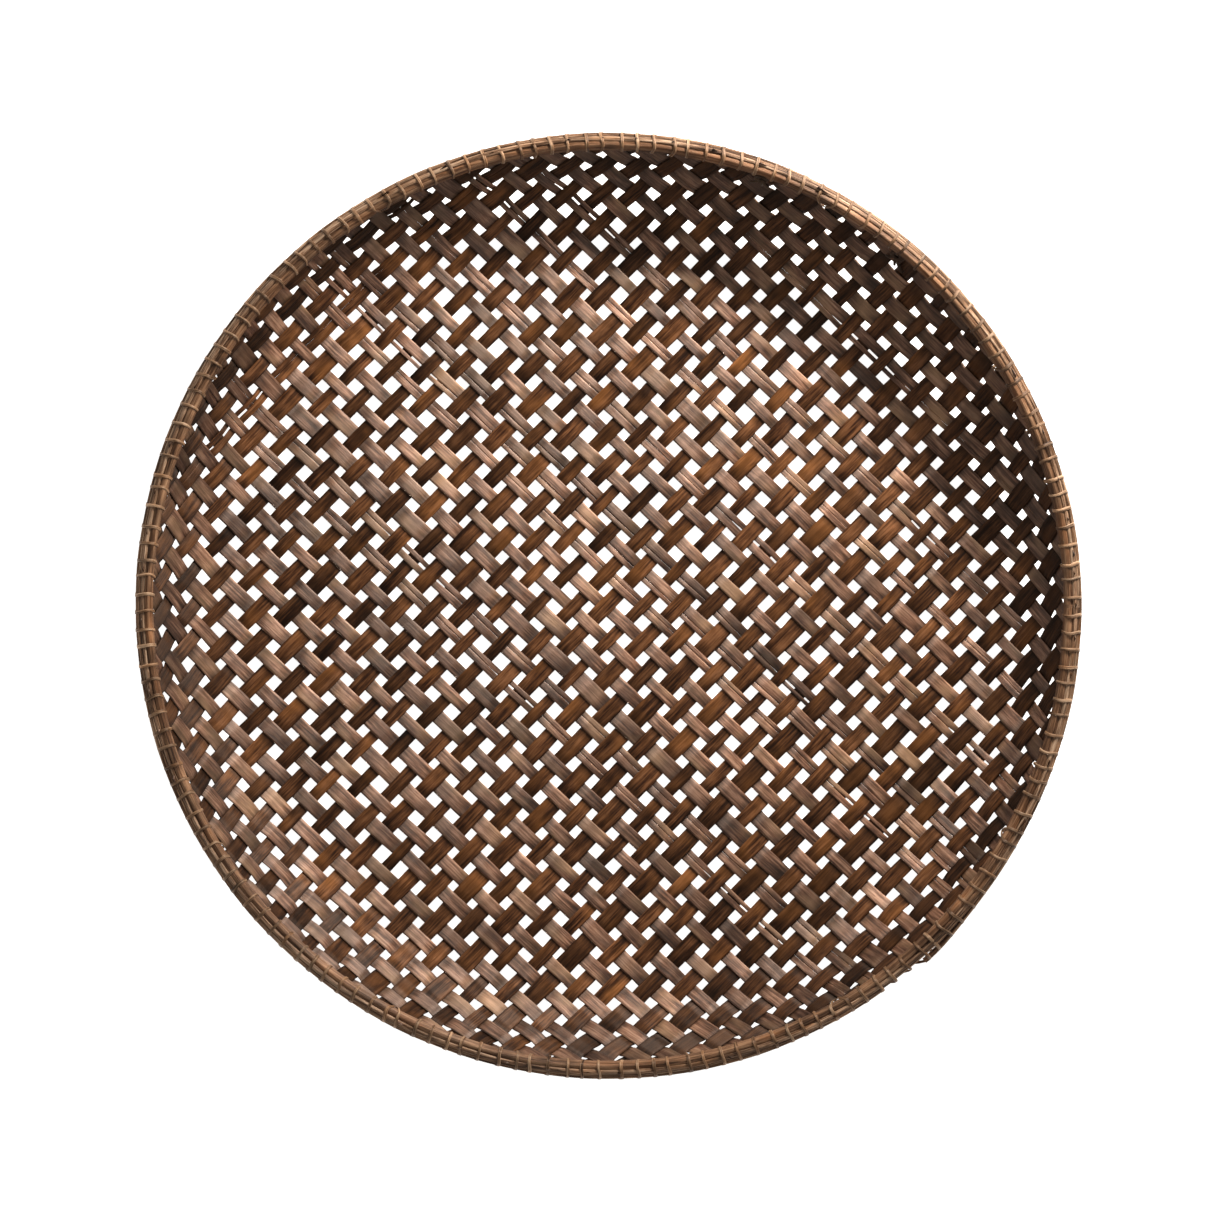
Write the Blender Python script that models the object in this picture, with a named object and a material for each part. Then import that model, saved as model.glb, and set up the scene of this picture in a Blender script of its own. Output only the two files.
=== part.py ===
"""Round open-weave winnowing basket: a shallow tray of flat splints in two crossing
layers, its edge held between an inner and an outer hoop that are bound with spiral
lashings passed through the holes of the weave. Metres, +Z up, underside at z = 0."""
from math import atan2, ceil, cos, hypot, pi, radians, sin, sqrt

import bpy
from mathutils import Vector

# Profile of the dished mat, measured as distance along the mat from its centre.
FLAT_LENGTH = 0.227          # flat base, centre to the start of the bend
BEND_END = 0.292             # where the bend turns into the wall
EDGE_LENGTH = 0.3185         # where the splints end, at the top of the wall
BEND_SLOPE = radians(56)     # slope of the mat at BEND_END
EDGE_SLOPE = radians(70)     # slope of the mat at its edge
PROFILE_STEPS = 400

# Weave of flat splints
SPLINTS_EACH_WAY = 39
PITCH = 0.0159
SPLINT_WIDTH = 0.0095
SPLINT_THICKNESS = 0.0010
LAYER_GAP = 0.0010
FALLING_ANGLE = radians(-43.5)   # direction of the upper layer's splints
RISING_ANGLE = radians(45.5)     # direction of the lower layer's splints
CHORD_ERROR = 0.0004
FINE_OFFSET = 0.267          # splints beyond this run along the rim and are cut finer
FINE_CHORD_ERROR = 0.0001

# Selvedge that joins the ends of the lower layer's splints
SELVEDGE_START = 0.3150
SELVEDGE_END = 0.3195
SELVEDGE_THICKNESS = 0.0016

# Hoops on both sides of the edge
HOOP_START = 0.3115
HOOP_END = 0.3200
HOOP_GAP = 0.0009
OUTER_HOOP_THICKNESS = 0.0028
INNER_HOOP_THICKNESS = 0.0026
HOOP_CHAMFER = 0.0012
HOOP_SEGMENTS = 120

# Lashings
LASHING_TURNS = 168
TURNS_PER_LASHING = 12
LASHING_WIDTH = 0.0020
LASHING_THICKNESS = 0.0007
LASHING_CLEARANCE = 0.0004
TOP_SLANT = 0.004            # angle by which a lashing slants over the top of the rim
HOLE_SHARE = 0.0014          # how far a lashing sits from the middle of a shared hole
HOLE_REACH = 0.0165          # how far below the hoops a lashing may go for a hole

MAT_HALF = LAYER_GAP / 2 + SPLINT_THICKNESS
BASE_LIFT = MAT_HALF         # raises the middle surface so that the underside is at z = 0


def make_material(name, color, roughness):
    """Principled BSDF material with one colour."""
    material = bpy.data.materials.new(name)
    material.use_nodes = True
    shader = material.node_tree.nodes["Principled BSDF"]
    shader.inputs["Base Color"].default_value = (*color, 1.0)
    shader.inputs["Roughness"].default_value = roughness
    return material


def make_object(name, vertices, faces, material):
    """Mesh object in the scene with one material."""
    mesh = bpy.data.meshes.new(name)
    mesh.from_pydata([tuple(v) for v in vertices], [], faces)
    mesh.materials.append(material)
    mesh.validate()
    item = bpy.data.objects.new(name, mesh)
    bpy.context.scene.collection.objects.link(item)
    return item


def slope_at(length):
    """Slope of the mat at a distance along it from the centre."""
    if length <= FLAT_LENGTH:
        return 0.0
    if length <= BEND_END:
        return BEND_SLOPE * (length - FLAT_LENGTH) / (BEND_END - FLAT_LENGTH)
    wall = (length - BEND_END) / (EDGE_LENGTH - BEND_END)
    return BEND_SLOPE + (EDGE_SLOPE - BEND_SLOPE) * wall


def build_profile():
    """Radius and height at equal steps along the mat, past the flat base."""
    step = (HOOP_END + 0.004 - FLAT_LENGTH) / PROFILE_STEPS
    points = [(FLAT_LENGTH, BASE_LIFT)]
    for index in range(PROFILE_STEPS):
        slope = slope_at(FLAT_LENGTH + (index + 0.5) * step)
        radius, height = points[-1]
        points.append((radius + step * cos(slope), height + step * sin(slope)))
    return step, points


PROFILE_STEP, PROFILE = build_profile()


def profile_at(length):
    """Radius and height of the mat's middle surface at a distance from the centre."""
    if length <= FLAT_LENGTH:
        return length, BASE_LIFT
    place = (length - FLAT_LENGTH) / PROFILE_STEP
    index = min(int(place), PROFILE_STEPS - 1)
    share = place - index
    (r0, z0), (r1, z1) = PROFILE[index], PROFILE[index + 1]
    return r0 + (r1 - r0) * share, z0 + (z1 - z0) * share


def rim_point(length, angle, lift):
    """Point on the dish at an angle, lifted off the middle surface towards the inside."""
    radius, height = profile_at(length)
    slope = slope_at(length)
    radius -= lift * sin(slope)
    height += lift * cos(slope)
    return Vector((radius * cos(angle), radius * sin(angle), height))


def mat_point(along, across, direction, lift):
    """Point on the dish given by the flat coordinates of a splint that runs in a direction."""
    x = along * cos(direction) - across * sin(direction)
    y = along * sin(direction) + across * cos(direction)
    return rim_point(hypot(x, y), atan2(y, x), lift)


def half_length(across):
    """Half the length of a line on the mat that runs across it at this distance."""
    return sqrt(EDGE_LENGTH ** 2 - across ** 2)


def stations(across):
    """Shares of the half length at which a splint is cut into straight segments."""
    end = half_length(across)
    start = sqrt(max(FLAT_LENGTH ** 2 - across ** 2, 0.0))
    count = 200
    step = (end - start) / count
    path = [mat_point(start + i * step, across, 0.0, 0.0) for i in range(-1, count + 2)]
    error = FINE_CHORD_ERROR if abs(across) > FINE_OFFSET else CHORD_ERROR
    bends = [0.0]
    for i in range(count):
        turn = (path[i + 3] - 2 * path[i + 2] + path[i + 1]).length / step ** 2
        bends.append(bends[-1] + step * sqrt(turn / (8 * error)))
    segments = max(1, ceil(bends[-1]))
    places = []
    index = 0
    for segment in range(1, segments):
        wanted = bends[-1] * segment / segments
        while bends[index] < wanted:
            index += 1
        places.append((start + index * step) / end)
    half = places + [1.0]
    if start > 0.0:
        half = [start / end] + half
    mirrored = [-share for share in reversed(half)]
    return mirrored + ([] if start > 0.0 else [0.0]) + half


def splint_rings(across, direction, lift):
    """Four-cornered rings along a splint of the weave."""
    rings = []
    sides = (across - SPLINT_WIDTH / 2, across + SPLINT_WIDTH / 2)
    low, high = lift - SPLINT_THICKNESS / 2, lift + SPLINT_THICKNESS / 2
    for share in stations(across):
        left, right = (share * half_length(side) for side in sides)
        rings.append([
            mat_point(left, sides[0], direction, low),
            mat_point(right, sides[1], direction, low),
            mat_point(right, sides[1], direction, high),
            mat_point(left, sides[0], direction, high),
        ])
    return rings


def sweep_faces(ring_count, corners, first=0):
    """Faces of a capped sweep through rings of vertices."""
    faces = [tuple(first + c for c in reversed(range(corners)))]
    for ring in range(ring_count - 1):
        base = first + ring * corners
        for c in range(corners):
            d = (c + 1) % corners
            faces.append((base + c, base + d, base + corners + d, base + corners + c))
    last = first + (ring_count - 1) * corners
    faces.append(tuple(last + c for c in range(corners)))
    return faces


def outward(vertices, faces):
    """The same faces, turned to look outwards when the closed body is inside out."""
    volume = 0.0
    for face in faces:
        a = vertices[face[0]]
        for i in range(1, len(face) - 1):
            volume += a.dot(vertices[face[i]].cross(vertices[face[i + 1]]))
    return faces if volume > 0 else [tuple(reversed(face)) for face in faces]


def sweep_object(name, rings, material):
    """Capped sweep as one closed object."""
    vertices = [corner for ring in rings for corner in ring]
    faces = sweep_faces(len(rings), len(rings[0]))
    return make_object(name, vertices, outward(vertices, faces), material)


def ring_object(name, section, segments, material):
    """Closed ring with a section given as (distance along the mat, lift) pairs."""
    corners = len(section)
    vertices = []
    faces = []
    for turn in range(segments):
        angle = 2 * pi * turn / segments
        vertices += [rim_point(length, angle, lift) for length, lift in section]
        base, following = turn * corners, (turn + 1) % segments * corners
        for c in range(corners):
            d = (c + 1) % corners
            faces.append((base + c, base + d, following + d, following + c))
    return make_object(name, vertices, outward(vertices, faces), material)


def splint_offsets():
    """Distances of the splints' centre lines from the middle of the mat."""
    half = (SPLINTS_EACH_WAY - 1) / 2
    return [(index - half) * PITCH for index in range(SPLINTS_EACH_WAY)]


def build_upper_splints(material):
    """One object for each splint of the upper layer."""
    lift = (LAYER_GAP + SPLINT_THICKNESS) / 2
    for number, across in enumerate(splint_offsets(), start=1):
        rings = splint_rings(across, FALLING_ANGLE, lift)
        sweep_object(f"splint_upper_{number:02d}", rings, material)


def build_lower_mat(material):
    """Splints of the lower layer, joined at their ends by the selvedge."""
    lift = -(LAYER_GAP + SPLINT_THICKNESS) / 2
    vertices = []
    faces = []
    for across in splint_offsets():
        rings = splint_rings(across, RISING_ANGLE, lift)
        strip = [corner for ring in rings for corner in ring]
        strip_faces = outward(strip, sweep_faces(len(rings), 4))
        faces += [tuple(len(vertices) + i for i in face) for face in strip_faces]
        vertices += strip
    splints = make_object("lower_splint_tool", vertices, faces, material)
    splints.hide_render = True
    splints.display_type = "WIRE"
    low, high = lift - SELVEDGE_THICKNESS / 2, lift + SELVEDGE_THICKNESS / 2
    section = [
        (SELVEDGE_START, low), (SELVEDGE_END, low), (SELVEDGE_END, high), (SELVEDGE_START, high),
    ]
    mat = ring_object("splints_lower_mat", section, HOOP_SEGMENTS, material)
    union = mat.modifiers.new("splints", "BOOLEAN")
    union.operation = "UNION"
    union.solver = "EXACT"
    union.object = splints
    return mat


def hoop_section(side, thickness):
    """Section of a hoop that follows the wall on one side: flat back, rounded front."""
    back = side * (MAT_HALF + HOOP_GAP)
    front = back + side * thickness
    shoulder = front - side * HOOP_CHAMFER
    middle = (HOOP_START + HOOP_END) / 2
    return [
        (HOOP_START, back), (middle, back), (HOOP_END, back), (HOOP_END, shoulder),
        (HOOP_END - HOOP_CHAMFER, front), (HOOP_START + HOOP_CHAMFER, front),
        (HOOP_START, shoulder),
    ]


def hole_slots():
    """Places near the rim where a lashing can pass through the weave: (angle, length)."""
    half = SPLINTS_EACH_WAY // 2
    nearest = HOOP_START - 0.0030
    slots = []
    for i in range(-half - 2, half + 2):
        for j in range(-half - 2, half + 2):
            rising, falling = (i + 0.5) * PITCH, (j + 0.5) * PITCH
            point = crossing(falling, rising)
            length = hypot(*point)
            if nearest - HOLE_REACH <= length <= nearest:
                angle = atan2(point[1], point[0])
                shift = HOLE_SHARE / profile_at(length)[0]
                slots.append((angle - shift, length))
                slots.append((angle + shift, length))
    return sorted(slots)


def crossing(across_falling, across_rising):
    """Flat coordinates where lines of the two splint directions meet."""
    a, b = FALLING_ANGLE, RISING_ANGLE
    turn = sin(b - a)
    x = (across_rising * cos(a) - across_falling * cos(b)) / -turn
    y = (across_rising * sin(a) - across_falling * sin(b)) / -turn
    return x, y


def choose_slots(slots):
    """One slot for each lashing turn, in order round the rim and as near it as it can be."""
    chosen = []
    spacing = 1.9 * HOLE_SHARE / profile_at(HOOP_START)[0]
    previous = -pi - 1.0
    for turn in range(LASHING_TURNS):
        wanted = -pi + 2 * pi * (turn + 0.5) / LASHING_TURNS
        free = [slot for slot in slots if slot[0] >= previous + spacing]
        best = min(free, key=lambda slot: abs(slot[0] - wanted))
        chosen.append((wanted, best[0], best[1]))
        previous = best[0]
    return chosen


def lashing_turn(top_angle, hole_angle, hole_length, next_angle, next_length):
    """Path of one turn as (length, angle, lift): out of a hole, over the rim, into the next."""
    half = LASHING_THICKNESS / 2 + LASHING_CLEARANCE
    outer = -(MAT_HALF + HOOP_GAP + OUTER_HOOP_THICKNESS + half)
    inner = MAT_HALF + HOOP_GAP + INNER_HOOP_THICKNESS + half
    near = MAT_HALF + half + 0.0004
    low, high = HOOP_START - half, HOOP_END + half
    return [
        (hole_length, hole_angle, -near),
        (low, hole_angle, outer),
        (high, top_angle, outer),
        (high, top_angle - TOP_SLANT, inner),
        (low, next_angle, inner),
        (next_length, next_angle, near),
    ]


def lashing_rings(path):
    """Rings of a flat strip whose width lies along the rim."""
    points = [rim_point(length, angle, lift) for length, angle, lift in path]
    rings = []
    for index, (length, angle, lift) in enumerate(path):
        width = Vector((-sin(angle), cos(angle), 0.0)) * LASHING_WIDTH / 2
        before = points[index] - points[max(index - 1, 0)]
        after = points[min(index + 1, len(points) - 1)] - points[index]
        normals = [width.cross(step).normalized() for step in (before, after) if step.length > 0]
        normal = sum(normals, Vector()).normalized()
        reach = LASHING_THICKNESS / 2 / max(normal.dot(normals[0]), 0.5)
        rise = normal * reach
        centre = points[index]
        rings.append([centre - width - rise, centre + width - rise,
                      centre + width + rise, centre - width + rise])
    return rings


def build_lashings(material):
    """Spiral lashings, one object for each length of strip."""
    turns = choose_slots(hole_slots())
    for first in range(0, LASHING_TURNS, TURNS_PER_LASHING):
        path = []
        for turn in range(first, first + TURNS_PER_LASHING):
            hole, length = turns[turn][1:]
            top, next_hole, next_length = turns[(turn + 1) % LASHING_TURNS]
            wrap = 2 * pi if turn + 1 == LASHING_TURNS else 0.0
            path += lashing_turn(top + wrap, hole, length, next_hole + wrap, next_length)
        path.pop()
        number = first // TURNS_PER_LASHING + 1
        sweep_object(f"lashing_{number:02d}", lashing_rings(path), material)


def main():
    for item in list(bpy.data.objects):
        bpy.data.objects.remove(item, do_unlink=True)
    upper = make_material("splint_upper", (0.30, 0.19, 0.12), 0.55)
    lower = make_material("splint_lower", (0.20, 0.11, 0.06), 0.55)
    outer = make_material("hoop_outer", (0.38, 0.24, 0.14), 0.5)
    inner = make_material("hoop_inner", (0.27, 0.15, 0.09), 0.5)
    binding = make_material("lashing", (0.48, 0.33, 0.20), 0.5)
    build_lower_mat(lower)
    build_upper_splints(upper)
    ring_object("hoop_outer", hoop_section(-1, OUTER_HOOP_THICKNESS), HOOP_SEGMENTS, outer)
    ring_object("hoop_inner", hoop_section(1, INNER_HOOP_THICKNESS), HOOP_SEGMENTS, inner)
    build_lashings(binding)


main()
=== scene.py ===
"""Looks of the round open-weave winnowing basket: splints that really pass over and
under each other, grooved cane hoops and spiral lashings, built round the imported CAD
part. Metres, +Z up."""
from math import atan2, cos, hypot, pi, radians, sin, sqrt

import bpy
import numpy as np
from mathutils import Matrix, Vector


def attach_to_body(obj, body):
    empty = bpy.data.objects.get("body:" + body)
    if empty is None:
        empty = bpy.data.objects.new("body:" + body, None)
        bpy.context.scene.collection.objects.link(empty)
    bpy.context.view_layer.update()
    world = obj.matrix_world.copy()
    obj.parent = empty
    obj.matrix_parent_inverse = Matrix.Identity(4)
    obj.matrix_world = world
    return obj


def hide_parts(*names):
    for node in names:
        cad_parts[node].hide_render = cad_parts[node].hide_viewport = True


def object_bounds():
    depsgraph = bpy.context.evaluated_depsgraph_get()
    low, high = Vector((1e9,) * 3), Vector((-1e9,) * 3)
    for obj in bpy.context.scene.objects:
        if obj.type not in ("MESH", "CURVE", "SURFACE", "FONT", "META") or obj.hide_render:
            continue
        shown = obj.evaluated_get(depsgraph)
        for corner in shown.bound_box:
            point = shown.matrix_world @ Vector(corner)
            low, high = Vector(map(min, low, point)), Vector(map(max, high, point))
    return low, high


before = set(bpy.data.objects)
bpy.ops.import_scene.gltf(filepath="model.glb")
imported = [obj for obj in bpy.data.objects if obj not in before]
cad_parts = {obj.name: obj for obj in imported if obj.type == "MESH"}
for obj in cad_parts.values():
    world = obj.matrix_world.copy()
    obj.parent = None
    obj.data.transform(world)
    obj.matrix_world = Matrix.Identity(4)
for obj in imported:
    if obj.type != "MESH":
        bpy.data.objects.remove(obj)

CAD_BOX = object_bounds()
SEED = 20

# Profile of the dished mat, as distance along the mat from its centre (as in the CAD).
FLAT_LENGTH = 0.227
BEND_START = 0.250           # where the widening and the darkening of the colour towards the rim begin
RIM_BLEND_END = 0.3035        # where they are complete
BEND_END = 0.292
EDGE_LENGTH = 0.3185
BEND_SLOPE = radians(56)
EDGE_SLOPE = radians(70)
MAT_HALF = 0.0015
SPLINT_END = 0.3166          # where the splints' middle lines end, just below the cane over the tips
HOOP_START = 0.3115
HOOP_END = 0.3200

# Weave
SPLINTS_EACH_WAY = 39
PITCH = 0.0159
FALLING_ANGLE = radians(-43.5)
RISING_ANGLE = radians(45.5)
SPLINT_WIDTH = 0.0095
WIDTH_SPREAD = 0.0013
NARROWEST, WIDEST = 0.0070, 0.0122
WIDEST_AT_RIM = 0.0140
RIM_WIDENING = 0.28          # how much wider, as a share, the splints are beside the hoops
SPLINT_THICKNESS = 0.0009
WEAVE_RISE = 0.00056         # how far a splint's middle leaves the mat's middle surface
RIM_RISE = 0.00030           # the same where the hoops squeeze the mat
LEVEL_SHARE = 0.86           # share of the other's half width over which a splint stays level
CENTRE_SPREAD = 0.0006       # how far a whole splint lies off its even place
WANDER = 0.0005              # how far its middle line wanders along it
STATION_STEP = 0.0018
WHOLE_STEPS, CRACKED_STEPS = 9, 7    # points across the top of a whole strand and of half a one
SPLIT_SHARE = 0.13           # share of the splints that have cracks along the grain

# Hoops, as lifts off the mat's middle surface
OUTER_FRONT = 0.0052
INNER_FRONT = 0.0050
HOOP_STEPS = 900
# Each cane: two distances along the mat, two lifts, corners of its section and its squareness
MIDDLE_CANE = ((HOOP_START + 0.0004, HOOP_END - 0.0002), (-0.0009, -0.0034), 14, 0.7)
OUTERMOST_CANE = ((HOOP_START + 0.0026, HOOP_END - 0.0011), (-0.0028, -OUTER_FRONT), 14, 0.7)
INNER_CANE = ((HOOP_START, HOOP_END - 0.0009), (0.0008, INNER_FRONT), 22, 0.75)
TIP_CANE = ((SPLINT_END + 0.0003, HOOP_END + 0.0001), (-0.0016, 0.0015), 12, 0.8)
RIM_RADIUS = 0.295
LOOSE_END = radians(-48.6)    # where the outermost cane starts, sprung a little off the rim
LOOSE_SWEEP = radians(354)
LOOSE_SPRING = 0.0034        # how far it is sprung
SPRING_REACH = radians(8)     # over how long a stretch it comes back to the rim

# Lashings
LASHING_TURNS = 168
TURNS_PER_LASHING = 12
LASHING_WIDTH = 0.0020
LASHING_THICKNESS = 0.0008
LASHING_REACH = 0.0095        # how far from the hoops a lashing goes for a hole
LASHING_TUCK = 0.0022         # how far below them it is tucked in where there is no hole
KNOTS = (                     # old knots: angle, distance along the mat, lift off it
    (radians(50.6), HOOP_START - 0.0050, 0.0022),
    (radians(70.5), HOOP_START - 0.0012, 0.0048),
)
KNOT_LOOPS = (0.0032, 0.0020)
KNOT_STRIP = (0.0019, 0.0012)  # width and thickness

# Camera and light
RIM_HEIGHT = 0.056
CAMERA_DISTANCE = 2.5
CAMERA_LEAN_LEFT = radians(2.5)
CAMERA_LEAN_DOWN = radians(1.5)
AIM_LEFT = 0.0026
AIM_DOWN = 0.0018
RIM_SHARE = 0.7868            # rim's width as a share of the frame's
KEY_AZIMUTH = radians(58)
KEY_ELEVATION = radians(26)
KEY_DISTANCE = 1.05
KEY_SIZE = 0.20
KEY_POWER = 16.5
WALL_COLOR = (0.95, 0.95, 0.94, 1.0)
CEILING_COLOR = (0.32, 0.32, 0.32, 1.0)
FAR_WALL_SHARE = 0.50
NEAR_WALL_SHARE = 1.28
KEY_COLOR = (1.0, 0.97, 0.93)
FLOOR_HALF = 6.0
FLOOR_DROP = 0.0002           # how far the floor is below the basket, so that they don't share a plane


def random_source(*keys):
    """Random numbers that are the same in every run for the same keys."""
    return np.random.default_rng([SEED, *keys])


def smooth_noise(source, longest, octaves=3):
    """A smooth random curve of about -1 to 1 whose longest waves have this length."""
    waves = [(2 ** i * source.uniform(0.8, 1.25), source.uniform(0, 2 * pi)) for i in range(octaves)]

    def curve(place):
        return sum(np.sin(2 * pi * place * rate / longest + phase) / rate for rate, phase in waves) * 0.7

    return curve


# The dish

LENGTHS = np.linspace(0.0, EDGE_LENGTH + 0.008, 3000)
SLOPES = np.interp(LENGTHS, [FLAT_LENGTH, BEND_END, EDGE_LENGTH, LENGTHS[-1]],
                   [0.0, BEND_SLOPE, EDGE_SLOPE, EDGE_SLOPE + radians(4)])


def running_total(values):
    """Running integral over LENGTHS."""
    steps = np.diff(LENGTHS) * (values[1:] + values[:-1]) / 2
    return np.concatenate([[0.0], np.cumsum(steps)])


RADII = running_total(np.cos(SLOPES))
HEIGHTS = MAT_HALF + running_total(np.sin(SLOPES))


def rim_points(length, angle, lift):
    """Points on the dish at an angle, lifted off the middle surface towards the inside."""
    slope = np.interp(length, LENGTHS, SLOPES)
    radius = np.interp(length, LENGTHS, RADII) - lift * np.sin(slope)
    height = np.interp(length, LENGTHS, HEIGHTS) + lift * np.cos(slope)
    return np.stack([radius * np.cos(angle), radius * np.sin(angle), height], axis=-1)


def mat_points(along, across, direction, lift):
    """Points on the dish from the flat coordinates of a splint that runs in a direction."""
    x = along * cos(direction) - across * sin(direction)
    y = along * sin(direction) + across * cos(direction)
    return rim_points(np.hypot(x, y), np.arctan2(y, x), lift)


# Meshes

def faces_inwards(points, quads):
    """Whether the faces of a closed tube look into it, from the sign of its volume."""
    a, b, c, d = (points[quads[:, corner]] - points.mean(axis=0) for corner in range(4))
    return np.sum(a * np.cross(b, c)) + np.sum(a * np.cross(c, d)) < 0


def strip_mesh(name, strands, material):
    """One object from strands, each a dict: points and grain (rings, corners, 3), depth and
    darkening (rings, 1 or corners), one tone, and whether its last ring meets its first."""
    points, grain, depth, darkening, tone, faces = [], [], [], [], [], []
    first = 0
    for strand in strands:
        rings, corners = strand["points"].shape[:2]
        closed = strand.get("closed", False)
        points.append(strand["points"].reshape(-1, 3))
        grain.append(strand["grain"].reshape(-1, 3))
        depth.append(np.broadcast_to(strand["depth"], (rings, corners)).reshape(-1))
        darkening.append(np.broadcast_to(strand.get("darkening", 0.0), (rings, corners)).reshape(-1))
        tone.append(np.full(rings * corners, strand["tone"]))
        ring = np.arange(rings if closed else rings - 1)[:, None]
        following = (ring + 1) % rings * corners + first
        ring = ring * corners + first
        corner = np.arange(corners)[None, :]
        beside = (corner + 1) % corners
        quads = np.stack([ring + corner, ring + beside, following + beside, following + corner], axis=-1)
        quads = quads.reshape(-1, 4)
        loops = quads.tolist()
        if not closed:
            loops.append(list(range(first + corners - 1, first - 1, -1)))
            last = first + (rings - 1) * corners
            loops.append(list(range(last, last + corners)))
        if faces_inwards(points[-1], quads - first):
            loops = [loop[::-1] for loop in loops]
        faces += loops
        first += rings * corners
    mesh = bpy.data.meshes.new(name)
    mesh.from_pydata(np.concatenate(points).tolist(), [], faces)
    grain = np.concatenate(grain)
    mesh.attributes.new("grain", "FLOAT_VECTOR", "POINT").data.foreach_set("vector", grain.ravel())
    mesh.attributes.new("depth", "FLOAT", "POINT").data.foreach_set("value", np.concatenate(depth))
    mesh.attributes.new("darkening", "FLOAT", "POINT").data.foreach_set("value", np.concatenate(darkening))
    mesh.attributes.new("tone", "FLOAT", "POINT").data.foreach_set("value", np.concatenate(tone))
    corners = np.empty(len(mesh.loops), dtype=np.int32)
    mesh.loops.foreach_get("vertex_index", corners)
    fibre = mesh.uv_layers.new(name="fibre")
    fibre.data.foreach_set("uv", grain[corners][:, [1, 0]].ravel())
    mesh.materials.append(material)
    mesh.polygons.foreach_set("use_smooth", [True] * len(mesh.polygons))
    mesh.update()
    piece = bpy.data.objects.new(name, mesh)
    bpy.context.scene.collection.objects.link(piece)
    return piece


def attach(piece, slot, *nodes):
    """Hangs a piece on the one body and hides the CAD nodes that it stands for."""
    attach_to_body(piece, "root")
    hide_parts(*nodes)


# Weave

class Splint:
    """One splint: where its middle runs, how wide it is and where it passes over or under."""

    def __init__(self, family, index):
        self.family = family
        self.index = index
        self.angle = (FALLING_ANGLE, RISING_ANGLE)[family]
        self.source = random_source(1, family, index)
        self.rest = (index - (SPLINTS_EACH_WAY - 1) / 2) * PITCH
        calm = 0.3 if abs(self.rest) > FLAT_LENGTH else 1.0
        self.shift = self.source.normal(0, CENTRE_SPREAD) * calm
        self.wander = smooth_noise(self.source, 0.22)
        wide = self.source.normal(SPLINT_WIDTH, WIDTH_SPREAD)
        self.wide = min(max(wide, NARROWEST if calm == 1.0 else SPLINT_WIDTH), WIDEST)
        self.swell = smooth_noise(self.source, 0.16, octaves=4)
        self.tone = self.source.uniform(0, 1)
        self.end = sqrt(SPLINT_END ** 2 - self.rest ** 2)

    def centre(self, along):
        """Distance of its middle line from the mat's centre."""
        return self.rest + self.shift + WANDER * self.wander(along)

    def half_width(self, along):
        """Half its width."""
        widening = RIM_WIDENING * near_rim(np.hypot(along, self.rest))
        return np.minimum(self.wide / 2 * (1 + 0.07 * self.swell(along) + widening), WIDEST_AT_RIM / 2)

    def passes(self, others):
        """Where it crosses the other family: place, half width of the other, +1 over or -1 under."""
        found = []
        for other in others:
            place = crossing_place(self, other)
            if abs(place) < self.end + PITCH / 2:
                over = (self.index + other.index + self.family) % 2 == 1
                found.append((place, other.half_width(mirrored_place(self)), 1.0 if over else -1.0))
        return sorted(found)


def near_rim(distance):
    """0 on the flat of the mat, rising to 1 beside the hoops."""
    share = np.clip((distance - BEND_START) / (RIM_BLEND_END - BEND_START), 0, 1)
    return share * share * (3 - 2 * share)


def mirrored_place(splint):
    """Where along the other family its wander and width are read. Known error: the sign is turned
    round, so this is the mirror of the true place, and the crossings are up to 1.1 mm off."""
    return splint.rest * (1 if splint.family else -1)


def crossing_place(splint, other):
    """About how far along one splint it crosses another, as both middle lines wander."""
    turn = sin(splint.angle - other.angle)
    lean = cos(splint.angle - other.angle)
    place = 0.0
    for _ in range(3):
        place = (other.centre(mirrored_place(splint)) - splint.centre(place) * lean) / turn
    return place


def weave_lift(along, passes):
    """Height of a splint's middle over the mat's middle surface, as a share of the weave's rise."""
    knots, values = [], []
    for place, half, side in passes:
        reach = half * LEVEL_SHARE
        knots += [place - reach, place + reach]
        values += [side, side]
    knots, values = np.array(knots), np.array(values)
    index = np.clip(np.searchsorted(knots, along) - 1, 0, len(knots) - 2)
    share = np.clip((along - knots[index]) / np.maximum(knots[index + 1] - knots[index], 1e-6), 0, 1)
    share = share * share * (3 - 2 * share)
    return values[index] + (values[index + 1] - values[index]) * share


def splint_section(source, steps):
    """Cross-section of a splint: (place across from -1 to 1, height as a share of its thickness)."""
    places = np.linspace(-1, 1, steps)
    crown = 0.5 * (1 - 0.30 * places ** 2 - 0.45 * np.abs(places) ** 7)
    crown += source.normal(0, 0.05, steps) * (np.abs(places) < 0.95)
    under = np.linspace(0.94, -0.94, 5)
    return (np.concatenate([places, under]),
            np.concatenate([crown, np.full(5, -0.5) + 0.12 * np.abs(under) ** 4]))


def strand_between(splint, left, right, along, lift, rise, steps):
    """One strand of a splint, between two places across it (-1 to 1) given at every station."""
    places, heights = splint_section(splint.source, steps)
    half = splint.half_width(along)
    middle = splint.centre(along)
    share = (left + right)[:, None] / 2 + (right - left)[:, None] / 2 * places[None, :]
    across = middle[:, None] + half[:, None] * share
    thick = SPLINT_THICKNESS * np.interp(np.abs(rise), [RIM_RISE, WEAVE_RISE], [0.65, 1.0])
    lifts = (lift * rise)[:, None] + thick[:, None] * heights[None, :]
    points = mat_points(np.broadcast_to(along[:, None], across.shape), across, splint.angle, lifts)
    grain = np.stack([
        np.broadcast_to(along[:, None], across.shape),
        half[:, None] * share,
        np.full(across.shape, splint.family * 50.0 + splint.index),
    ], axis=-1)
    # How much the colour is darkened, rising towards the rim.
    darkening = near_rim(np.hypot(along, splint.rest))
    return {"points": points, "grain": grain, "depth": lift[:, None], "darkening": darkening[:, None],
            "tone": splint.tone}


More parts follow.
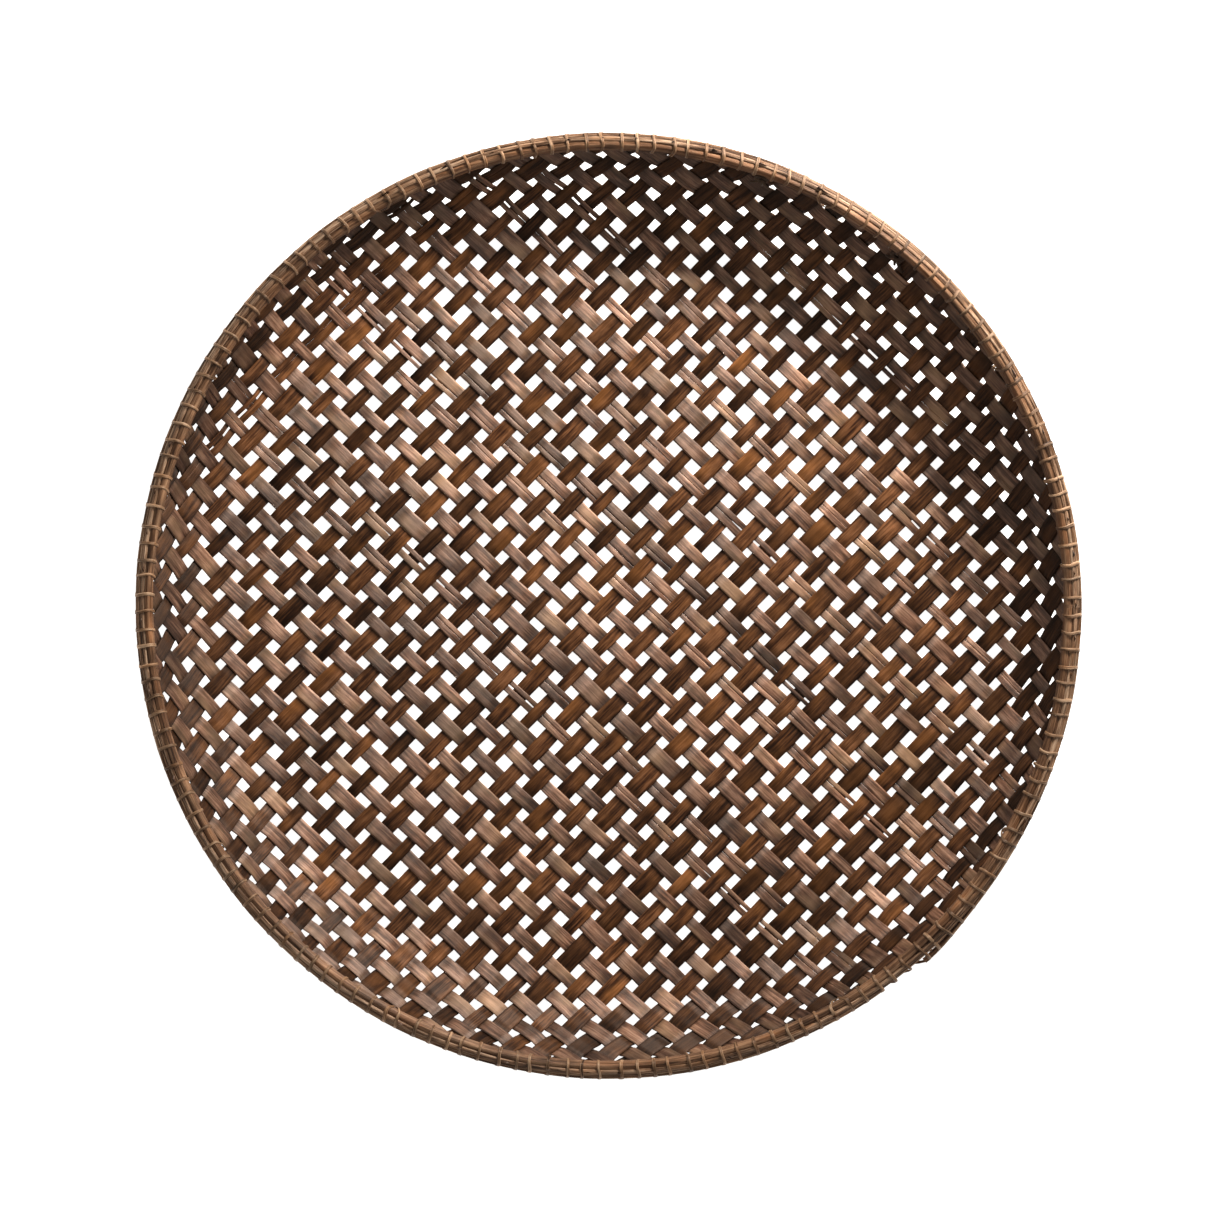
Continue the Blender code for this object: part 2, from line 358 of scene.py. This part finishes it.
def crack_opening(source, along, end):
    """Half the opening of a crack along a splint at every station, as a share of its half width."""
    opening = np.full(along.shape, 0.004)
    for _ in range(source.integers(1, 3)):
        middle = source.uniform(-end, end)
        length = source.uniform(0.012, 0.035)
        opening += source.uniform(0.10, 0.22) * np.exp(-((along - middle) / length) ** 4)
    return opening


def splint_strands(splint, others):
    """Strands of one splint: one, or two beside each other where it has cracked. Known error: the
    ends are cut square, so on splints that meet the rim at a slant a corner stands above the
    canes, by up to 3.0 mm."""
    count = max(4, int(2 * splint.end / STATION_STEP))
    along = np.linspace(-splint.end, splint.end, count)
    lift = weave_lift(along, splint.passes(others))
    distance = np.hypot(along, splint.rest)
    rise = np.interp(distance, [HOOP_START - 0.010, HOOP_START - 0.002], [WEAVE_RISE, RIM_RISE])
    ones = np.ones(count)
    if splint.source.uniform() > SPLIT_SHARE:
        return [strand_between(splint, -ones, ones, along, lift, rise, WHOLE_STEPS)]
    line = splint.source.uniform(-0.45, 0.45) + 0.06 * smooth_noise(splint.source, 0.2)(along)
    opening = crack_opening(splint.source, along, splint.end)
    return [
        strand_between(splint, -ones, line - opening, along, lift, rise, CRACKED_STEPS),
        strand_between(splint, line + opening, ones, along, lift, rise, CRACKED_STEPS),
    ]


def build_weave(materials):
    """Both families of splints, one piece for each splint."""
    falling = [Splint(0, index) for index in range(SPLINTS_EACH_WAY)]
    rising = [Splint(1, index) for index in range(SPLINTS_EACH_WAY)]
    for number, splint in enumerate(falling, start=1):
        strands = splint_strands(splint, rising)
        piece = strip_mesh(f"falling_splint_{number:02d}", strands, materials["falling"])
        attach(piece, "splint_upper", f"splint_upper_{number:02d}")
    for number, splint in enumerate(rising, start=1):
        strands = splint_strands(splint, falling)
        piece = strip_mesh(f"rising_splint_{number:02d}", strands, materials["rising"])
        attach(piece, "splints_lower_mat", "splints_lower_mat")
    return falling, rising


# Hoops

def cane_strand(number, lengths, lifts, corners, squareness, start=0.0, sweep=2 * pi):
    """One cane swept round the rim: a rounded strip between two distances and two lifts. A cane
    that doesn't go right round has cut ends, and its first end stands off the rim."""
    source = random_source(2, number)
    closed = sweep == 2 * pi
    angle = start + np.linspace(0, sweep, HOOP_STEPS, endpoint=not closed)
    turn = np.linspace(0, 2 * pi, corners, endpoint=False)
    relief = 1 + source.normal(0, 0.025, corners)
    section_lift = rounded(np.cos(turn), squareness) * relief
    section_length = rounded(np.sin(turn), squareness) * relief
    half_length, half_lift = (lengths[1] - lengths[0]) / 2, (lifts[1] - lifts[0]) / 2

    def ring_noise(amount, *waves):
        phases = [(wave, source.uniform(0, 2 * pi)) for wave in waves]
        return amount * sum(np.sin(wave * angle + phase) for wave, phase in phases)[:, None]

    rise = ring_noise(0.00016, 2, 5, 9, 17, 31)
    thick = 1 + ring_noise(0.022, 3, 7, 13, 29, 47)
    tall = 1 + ring_noise(0.020, 4, 6, 15, 23, 41)
    away = 0.0 if closed else -loose_spring(angle)[:, None]
    length = sum(lengths) / 2 + rise + half_length * tall * section_length[None, :]
    lift = sum(lifts) / 2 + away + half_lift * thick * section_lift[None, :]
    points = rim_points(length, np.broadcast_to(angle[:, None], length.shape), lift)
    girth = 2 * (half_length + abs(half_lift)) * turn / pi
    grain = np.stack([
        np.broadcast_to(RIM_RADIUS * angle[:, None], length.shape),
        np.broadcast_to(girth[None, :], length.shape),
        np.full(length.shape, 120.0 + number),
    ], axis=-1)
    return {"points": points, "grain": grain, "depth": np.full(length.shape, 0.5),
            "tone": source.uniform(0, 1), "closed": closed}


def loose_spring(angle):
    """How far the outermost cane stands off the rim just past its cut end."""
    past = (angle - LOOSE_END) % (2 * pi)
    return LOOSE_SPRING * np.exp(-(past / SPRING_REACH) ** 2)


def rounded(values, squareness):
    """Circle coordinates pushed out towards a square: 1 leaves them round."""
    return np.sign(values) * np.abs(values) ** squareness


def build_hoops(materials):
    """Outer hoop of two canes, the cane over the splints' tips and the half-round inner hoop."""
    outer = strip_mesh("outer_hoop_canes", [
        cane_strand(1, *MIDDLE_CANE),
        cane_strand(2, *OUTERMOST_CANE, start=LOOSE_END, sweep=LOOSE_SWEEP),
    ], materials["outer"])
    attach(outer, "hoop_outer", "hoop_outer")
    cap = strip_mesh("rim_cap_cane", [cane_strand(4, *TIP_CANE)], materials["outer"])
    attach(cap, "splints_lower_mat", "splints_lower_mat")
    inner = strip_mesh("inner_hoop_cane", [cane_strand(3, *INNER_CANE)], materials["inner"])
    attach(inner, "hoop_inner", "hoop_inner")


# Lashings

def open_holes(falling, rising):
    """Holes of the weave just below the hoops: sorted (angle, distance from the centre)."""
    holes = []
    for low, high in zip(falling[:-1], falling[1:]):
        for left, right in zip(rising[:-1], rising[1:]):
            across_falling = (low.rest + low.shift + high.rest + high.shift) / 2
            across_rising = (left.rest + left.shift + right.rest + right.shift) / 2
            turn = sin(FALLING_ANGLE - RISING_ANGLE)
            x = (across_rising * cos(FALLING_ANGLE) - across_falling * cos(RISING_ANGLE)) / turn
            y = (across_rising * sin(FALLING_ANGLE) - across_falling * sin(RISING_ANGLE)) / turn
            if HOOP_START - 0.0190 < hypot(x, y) < HOOP_START - 0.0028:
                holes.append((atan2(y, x), hypot(x, y)))
    return sorted(holes)


def lashing_turns(holes):
    """For each turn, where it passes over the rim and which hole it goes down: (top, hole, length)."""
    source = random_source(3, 0)
    turns = []
    for turn in range(LASHING_TURNS):
        top = -pi + 2 * pi * (turn + 0.5 + source.uniform(-0.16, 0.16)) / LASHING_TURNS
        angle, length = min(holes, key=lambda hole: hypot(RIM_RADIUS * (hole[0] - top), HOOP_START - hole[1]))
        if hypot(RIM_RADIUS * (angle - top), HOOP_START - length) > LASHING_REACH:
            angle, length = top + source.uniform(-0.004, 0.004), HOOP_START - LASHING_TUCK
        turns.append((top, angle, length))
    return turns


def rounded_path(corners, share=0.32, steps=4):
    """The corners of a path with each one rounded by a short curve."""
    corners = [np.array(c) for c in corners]
    path = [corners[0]]
    for before, here, after in zip(corners[:-2], corners[1:-1], corners[2:]):
        start, end = here + (before - here) * share, here + (after - here) * share
        for step in range(steps + 1):
            t = step / steps
            path.append((1 - t) ** 2 * start + 2 * t * (1 - t) * here + t * t * end)
    path.append(corners[-1])
    return np.array(path)


def lashing_strand(turns, first, number):
    """A flat rounded strip that winds round both hoops for some turns. Over the gap behind the
    outermost cane's cut end it keeps that cane's distance, with nothing under it."""
    source = random_source(3, number)
    half = LASHING_THICKNESS / 2
    inner = INNER_FRONT + half * 0.8
    low, high, top_height = HOOP_START - half, HOOP_END - 0.0020, HOOP_END + half * 0.5
    corners = []
    for turn in range(first, first + TURNS_PER_LASHING):
        hole, length = turns[turn][1:]
        top, next_hole, next_length = turns[(turn + 1) % LASHING_TURNS]
        if turn + 1 == LASHING_TURNS:
            top, next_hole = top + 2 * pi, next_hole + 2 * pi
        slant = source.uniform(0.001, 0.006)
        outer = -(OUTER_FRONT + half * 0.8 + loose_spring(top + radians(0.3)))
        corners += [
            (length, hole, -0.0012), (low, hole * 0.6 + top * 0.4, outer * 0.9), (high, top, outer),
            (top_height, top, outer * 0.5), (top_height, top - slant, inner * 0.5),
            (high, top - slant, inner), (low, next_hole * 0.6 + (top - slant) * 0.4, inner * 0.9),
            (next_length, next_hole, 0.0012),
        ]
    return strip_along(rounded_path(corners), LASHING_WIDTH, LASHING_THICKNESS, source, 200.0 + number)


def strip_along(path, width, thickness, source, seed):
    """A flat rounded strip along a path of (distance along the mat, angle, lift)."""
    centre = rim_points(path[:, 0], path[:, 1], path[:, 2])
    ahead = np.gradient(centre, axis=0)
    ahead /= np.linalg.norm(ahead, axis=1)[:, None]
    side = np.stack([-np.sin(path[:, 1]), np.cos(path[:, 1]), np.zeros(len(path))], axis=-1)
    side -= ahead * np.sum(side * ahead, axis=1)[:, None]
    side /= np.linalg.norm(side, axis=1)[:, None]
    out = np.cross(ahead, side)
    travelled = np.concatenate([[0.0], np.cumsum(np.linalg.norm(np.diff(centre, axis=0), axis=1))])
    turn = np.linspace(0, 2 * pi, 10, endpoint=False)
    across = rounded(np.cos(turn), 0.7) * width / 2
    up = rounded(np.sin(turn), 0.8) * thickness / 2
    swell = 1 + 0.16 * smooth_noise(source, 0.08)(travelled)
    points = (centre[:, None, :] + side[:, None, :] * (across[None, :] * swell[:, None])[..., None]
              + out[:, None, :] * up[None, :, None])
    grain = np.stack([
        np.broadcast_to(travelled[:, None], points.shape[:2]),
        np.broadcast_to(across[None, :], points.shape[:2]),
        np.full(points.shape[:2], seed),
    ], axis=-1)
    return {"points": points, "grain": grain, "depth": np.full(points.shape[:2], 0.5),
            "tone": source.uniform(0, 1)}


def knot_strands(number, angle, length, lift):
    """A dark old knot with frayed ends, on the inside of the tray beside the hoops."""
    source = random_source(4, number)
    paths = []
    for size in KNOT_LOOPS:
        turn = source.uniform(0, 2 * pi) + np.linspace(0, 3.2 * pi, 40)
        paths.append(np.stack([length + size * np.sin(turn), angle + size * 1.3 * np.cos(turn) / RIM_RADIUS,
                               lift + 0.0007 * np.sin(turn / 2)], axis=-1))
    share = np.linspace(0, 1, 14)
    for side in (-1.0, -0.3, 0.8):
        reach = source.uniform(0.005, 0.009)
        swing = side * (0.001 + reach * share ** 1.4)
        paths.append(np.stack([length - 0.0008 - reach * share, angle + swing / RIM_RADIUS,
                               lift + 0.0006 * np.sin(pi * share)], axis=-1))
    strands = [strip_along(path, *KNOT_STRIP, source, 230.0 + number) for path in paths]
    for strand in strands:
        strand["darkening"] = 1.0
    return strands


def build_lashings(falling, rising, materials):
    """All the lashings, one piece for each length of strip."""
    turns = lashing_turns(open_holes(falling, rising))
    for number in range(1, LASHING_TURNS // TURNS_PER_LASHING + 1):
        strands = [lashing_strand(turns, (number - 1) * TURNS_PER_LASHING, number)]
        for knot, (angle, length, lift) in enumerate(KNOTS):
            turn = int((angle + pi) / (2 * pi) * LASHING_TURNS)
            if turn // TURNS_PER_LASHING + 1 == number:
                strands += knot_strands(knot, angle, length, lift)
        piece = strip_mesh(f"lashing_strip_{number:02d}", strands, materials["lashing"])
        attach(piece, "lashing", f"lashing_{number:02d}")


# Materials

class Nodes:
    """Adds linked nodes to a new material."""

    def __init__(self, name):
        self.material = bpy.data.materials.new(name)
        self.material.use_nodes = True
        self.tree = self.material.node_tree
        self.shader = self.tree.nodes["Principled BSDF"]

    def put(self, socket, value):
        """Links a socket to another, or sets its value."""
        if isinstance(value, bpy.types.NodeSocket):
            self.tree.links.new(value, socket)
        else:
            socket.default_value = value

    def add(self, kind, inputs=(), output=0, **settings):
        """A node with its inputs, by name or number, and settings. Returns one output."""
        node = self.tree.nodes.new(kind)
        for key, value in settings.items():
            setattr(node, key, value)
        for key, value in dict(inputs).items():
            self.put(node.inputs[key], value)
        return node.outputs[output]

    def attribute(self, name, output):
        """A mesh attribute's output."""
        return self.add("ShaderNodeAttribute", attribute_name=name, output=output)

    def noise(self, vector, stretch, detail=2.0, roughness=0.55):
        """Noise in grain coordinates, with its waves per metre (along, across) and a seed factor."""
        scaled = self.add("ShaderNodeVectorMath", {0: vector, 1: stretch}, operation="MULTIPLY")
        return self.add("ShaderNodeTexNoise", {"Vector": scaled, "Scale": 1.0, "Detail": detail,
                                               "Roughness": roughness})

    def math(self, operation, first, second, clamp=False):
        """One sum."""
        return self.add("ShaderNodeMath", {0: first, 1: second}, operation=operation, use_clamp=clamp)

    def spread(self, value, low, high, to_low=0.0, to_high=1.0):
        """A value mapped from one range to another, clamped."""
        return self.add("ShaderNodeMapRange", {"Value": value, "From Min": low, "From Max": high,
                                               "To Min": to_low, "To Max": to_high})

    def mix(self, share, first, second, blend="MIX"):
        """Two colours mixed."""
        node = self.tree.nodes.new("ShaderNodeMix")
        node.data_type = "RGBA"
        node.blend_type = blend
        self.put(node.inputs[0], share)
        self.put(node.inputs[6], first)
        self.put(node.inputs[7], second)
        return node.outputs[2]

    def ramp(self, value, stops):
        """A colour ramp from (position, colour) stops."""
        node = self.tree.nodes.new("ShaderNodeValToRGB")
        ramp = node.color_ramp
        for _ in range(len(stops) - 2):
            ramp.elements.new(0.5)
        for element, (position, color) in zip(ramp.elements, stops):
            element.position = position
            element.color = color
        self.put(node.inputs[0], value)
        return node.outputs[0]


def rgb(red, green, blue):
    """A linear colour with full alpha."""
    return (red, green, blue, 1.0)


def fibre_material(name, look):
    """Dry split cane: fine lengthwise fibres, streaks and stains, with painted shade where a
    splint passes under another and the colour darkened towards the rim.
    """
    nodes = Nodes(name)
    grain = nodes.attribute("grain", 1)
    tone = nodes.attribute("tone", 2)
    depth = nodes.attribute("depth", 2)
    darkening = nodes.attribute("darkening", 2)
    fine = nodes.noise(grain, (45, look["fibres"], 3.1), detail=4.0, roughness=0.78)
    streaks = nodes.noise(grain, (22, look["fibres"] * 0.3, 5.3), detail=2.0)
    stains = nodes.noise(grain, (38, 120, 7.7), detail=3.0, roughness=0.6)
    patches = nodes.noise(grain, (26, 60, 11.9), detail=2.0)
    drift = nodes.noise(grain, (32, 12, 17.3), detail=2.0, roughness=0.7)
    mixed = nodes.math("ADD", nodes.math("MULTIPLY", fine, 0.62), nodes.math("MULTIPLY", streaks, 0.38))
    color = nodes.ramp(mixed, [(0.41, look["groove"]), (0.47, look["low"]), (0.52, look["middle"]),
                               (0.60, look["light"])])
    color = nodes.mix(nodes.spread(patches, 0.50, 0.68, 0.0, look["warm_share"]), color, look["warm"])
    color = nodes.mix(nodes.spread(stains, 0.56, 0.74, 0.0, look["stain_share"]), color, look["stain"])
    brightness = nodes.spread(tone, 0.0, 1.0, look["tone_low"], look["tone_high"])
    drifting = nodes.spread(drift, 0.34, 0.66, 0.52, 1.54)
    # Painted shade: darker where a splint passes under the other family, following its lift.
    shade = nodes.spread(depth, -0.9, 0.5, look["painted_under_shade"], 1.0)
    # Darker towards the rim on the splints, and all over on the knots.
    darkened = nodes.spread(darkening, 0.0, 1.0, 1.0, look["darkened"])
    shade_and_darkening = nodes.math("MULTIPLY", shade, darkened)
    level = nodes.math("MULTIPLY", nodes.math("MULTIPLY", brightness, drifting), shade_and_darkening)
    scaled = nodes.add("ShaderNodeVectorMath", {0: color, "Scale": level}, operation="SCALE")
    nodes.put(nodes.shader.inputs["Base Color"], scaled)
    roughness = nodes.spread(mixed, 0.3, 0.7, look["roughness"] + 0.10, look["roughness"] - 0.08)
    nodes.put(nodes.shader.inputs["Roughness"], roughness)
    nodes.shader.inputs["Specular IOR Level"].default_value = look["specular"]
    nodes.shader.inputs["Specular Tint"].default_value = look["sheen"]
    nodes.shader.inputs["Anisotropic"].default_value = look["anisotropy"]
    tangent = nodes.add("ShaderNodeTangent", direction_type="UV_MAP", uv_map="fibre")
    nodes.put(nodes.shader.inputs["Tangent"], tangent)
    relief = nodes.math("ADD", nodes.math("MULTIPLY", fine, 0.8), nodes.math("MULTIPLY", streaks, 0.6))
    bump = nodes.add("ShaderNodeBump", {"Height": relief, "Strength": 0.8, "Distance": look["bump"]})
    nodes.put(nodes.shader.inputs["Normal"], bump)
    return nodes.material


RISING_LOOK = {
    "fibres": 900.0, "groove": rgb(0.016, 0.006, 0.003), "low": rgb(0.058, 0.022, 0.009),
    "middle": rgb(0.104, 0.040, 0.015), "light": rgb(0.180, 0.076, 0.032),
    "warm": rgb(0.230, 0.085, 0.022), "warm_share": 0.45,
    "stain": rgb(0.016, 0.007, 0.004), "stain_share": 0.75,
    # The painted shade where a splint passes under another goes down to half brightness.
    "tone_low": 0.56, "tone_high": 1.44, "painted_under_shade": 0.50, "roughness": 0.52, "specular": 0.35,
    "anisotropy": 0.85, "bump": 0.00045, "darkened": 0.38, "sheen": rgb(1.0, 0.73, 0.58),
}
# Painted sheen: the rising splints' cane in lighter, greyer colours, standing in for the highlight the key
# light raises across these fibres.
FALLING_LOOK_WITH_PAINTED_SHEEN = {
    **RISING_LOOK, "groove": rgb(0.034, 0.015, 0.008), "low": rgb(0.112, 0.048, 0.026),
    "middle": rgb(0.203, 0.095, 0.053), "light": rgb(0.365, 0.203, 0.126),
    "warm": rgb(0.320, 0.185, 0.096), "warm_share": 0.65, "stain": rgb(0.060, 0.030, 0.021),
    "specular": 1.0, "darkened": 0.48, "sheen": rgb(1.0, 0.76, 0.63),
}
OUTER_LOOK = {
    **RISING_LOOK, "specular": 0.6, "groove": rgb(0.024, 0.011, 0.006), "low": rgb(0.110, 0.055, 0.028),
    "middle": rgb(0.245, 0.138, 0.079), "light": rgb(0.460, 0.310, 0.200), "warm": rgb(0.240, 0.110, 0.045),
    "stain": rgb(0.060, 0.030, 0.016), "stain_share": 0.5, "tone_low": 0.85, "tone_high": 1.15,
}
# Painted shade: the outer hoop's cane in darker colours, for the shade on the inner hoop's face.
INNER_LOOK_WITH_PAINTED_SHADE = {
    **OUTER_LOOK, "groove": rgb(0.024, 0.010, 0.005), "low": rgb(0.100, 0.045, 0.021),
    "middle": rgb(0.200, 0.100, 0.050), "light": rgb(0.310, 0.175, 0.095), "warm": rgb(0.240, 0.095, 0.034),
}
LASHING_LOOK = {
    **OUTER_LOOK, "fibres": 1500.0, "low": rgb(0.160, 0.085, 0.042), "middle": rgb(0.245, 0.140, 0.076),
    "light": rgb(0.400, 0.262, 0.160), "stain_share": 0.4, "tone_low": 0.75, "tone_high": 1.25,
    "darkened": 0.14,
}


def build_materials():
    """The five finishes of the basket."""
    return {
        "rising": fibre_material("rising splint cane", RISING_LOOK),
        "falling": fibre_material("falling splint cane, painted sheen", FALLING_LOOK_WITH_PAINTED_SHEEN),
        "outer": fibre_material("outer hoop cane", OUTER_LOOK),
        "inner": fibre_material("inner hoop cane, painted shade", INNER_LOOK_WITH_PAINTED_SHADE),
        "lashing": fibre_material("lashing cane", LASHING_LOOK),
    }


# Floor, light and camera

def build_floor():
    """A large pale floor that is bright enough to look white through the weave."""
    nodes = Nodes("studio floor")
    place = nodes.add("ShaderNodeTexCoord", output=3)
    cloud = nodes.add("ShaderNodeTexNoise", {"Vector": place, "Scale": 1.5, "Detail": 2.0})
    color = nodes.ramp(cloud, [(0.3, rgb(0.86, 0.86, 0.85)), (0.7, rgb(0.90, 0.90, 0.89))])
    nodes.put(nodes.shader.inputs["Base Color"], color)
    nodes.put(nodes.shader.inputs["Emission Color"], color)
    nodes.shader.inputs["Emission Strength"].default_value = 1.0
    nodes.shader.inputs["Roughness"].default_value = 0.9
    nodes.shader.inputs["Specular IOR Level"].default_value = 0.1
    mesh = bpy.data.meshes.new("studio_floor")
    corners = [(x * FLOOR_HALF, y * FLOOR_HALF, 0) for x, y in ((-1, -1), (1, -1), (1, 1), (-1, 1))]
    mesh.from_pydata(corners, [], [(0, 1, 2, 3)])
    mesh.materials.append(nodes.material)
    floor = bpy.data.objects.new("studio_floor", mesh)
    floor.location.z = -FLOOR_DROP
    bpy.context.scene.collection.objects.link(floor)


def aim(item, target):
    """Turns an object so that it looks at a point, with its top towards +Y."""
    back = (item.location - Vector(target)).normalized()
    right = Vector((0, 1, 0)).cross(back).normalized()
    item.rotation_euler = Matrix((right, back.cross(right), back)).transposed().to_euler()


def studio_world():
    """Pale walls, brighter on the key light's side, and a darker ceiling."""
    world = bpy.data.worlds.new("studio")
    world.use_nodes = True
    tree = world.node_tree
    place = tree.nodes.new("ShaderNodeTexCoord")
    parts = tree.nodes.new("ShaderNodeSeparateXYZ")
    ramp = tree.nodes.new("ShaderNodeValToRGB")
    walls, ceiling = ramp.color_ramp.elements
    walls.position, walls.color = 0.15, WALL_COLOR
    ceiling.position, ceiling.color = 0.75, CEILING_COLOR
    tree.links.new(place.outputs["Generated"], parts.inputs[0])
    tree.links.new(parts.outputs["Z"], ramp.inputs[0])
    tree.links.new(ramp.outputs[0], tree.nodes["Background"].inputs["Color"])
    towards = tree.nodes.new("ShaderNodeVectorMath")
    towards.operation = "DOT_PRODUCT"
    towards.inputs[1].default_value = (cos(KEY_AZIMUTH), sin(KEY_AZIMUTH), 0.0)
    strength = tree.nodes.new("ShaderNodeMapRange")
    strength.inputs["From Min"].default_value = -0.9
    strength.inputs["From Max"].default_value = 0.9
    strength.inputs["To Min"].default_value = FAR_WALL_SHARE
    strength.inputs["To Max"].default_value = NEAR_WALL_SHARE
    tree.links.new(place.outputs["Generated"], towards.inputs[0])
    tree.links.new(towards.outputs["Value"], strength.inputs["Value"])
    tree.links.new(strength.outputs[0], tree.nodes["Background"].inputs["Strength"])
    return world


def build_light():
    """A soft key light from the upper right and an even pale surround."""
    key = bpy.data.lights.new("key light", "AREA")
    key.shape = "DISK"
    key.size = KEY_SIZE
    key.energy = KEY_POWER
    key.color = KEY_COLOR
    lamp = bpy.data.objects.new("key light", key)
    reach = KEY_DISTANCE * cos(KEY_ELEVATION)
    lamp.location = (reach * cos(KEY_AZIMUTH), reach * sin(KEY_AZIMUTH), KEY_DISTANCE * sin(KEY_ELEVATION))
    aim(lamp, (0, 0, 0.02))
    bpy.context.scene.collection.objects.link(lamp)
    bpy.context.scene.world = studio_world()
    bpy.context.scene.view_settings.view_transform = "Standard"


def build_camera():
    """A long lens almost straight above the basket."""
    camera = bpy.data.cameras.new("camera")
    item = bpy.data.objects.new("camera", camera)
    x, y = -sin(CAMERA_LEAN_LEFT), -sin(CAMERA_LEAN_DOWN)
    item.location = (CAMERA_DISTANCE * x, CAMERA_DISTANCE * y,
                     RIM_HEIGHT + CAMERA_DISTANCE * sqrt(1 - x * x - y * y))
    radius = (CAD_BOX[1].x - CAD_BOX[0].x) / 2
    camera.lens = camera.sensor_width * RIM_SHARE / 2 * CAMERA_DISTANCE / radius
    bpy.context.scene.collection.objects.link(item)
    aim(item, (-AIM_LEFT, -AIM_DOWN, RIM_HEIGHT))
    bpy.context.scene.camera = item


def main():
    materials = build_materials()
    falling, rising = build_weave(materials)
    build_hoops(materials)
    build_lashings(falling, rising, materials)
    build_floor()
    build_light()
    build_camera()


main()
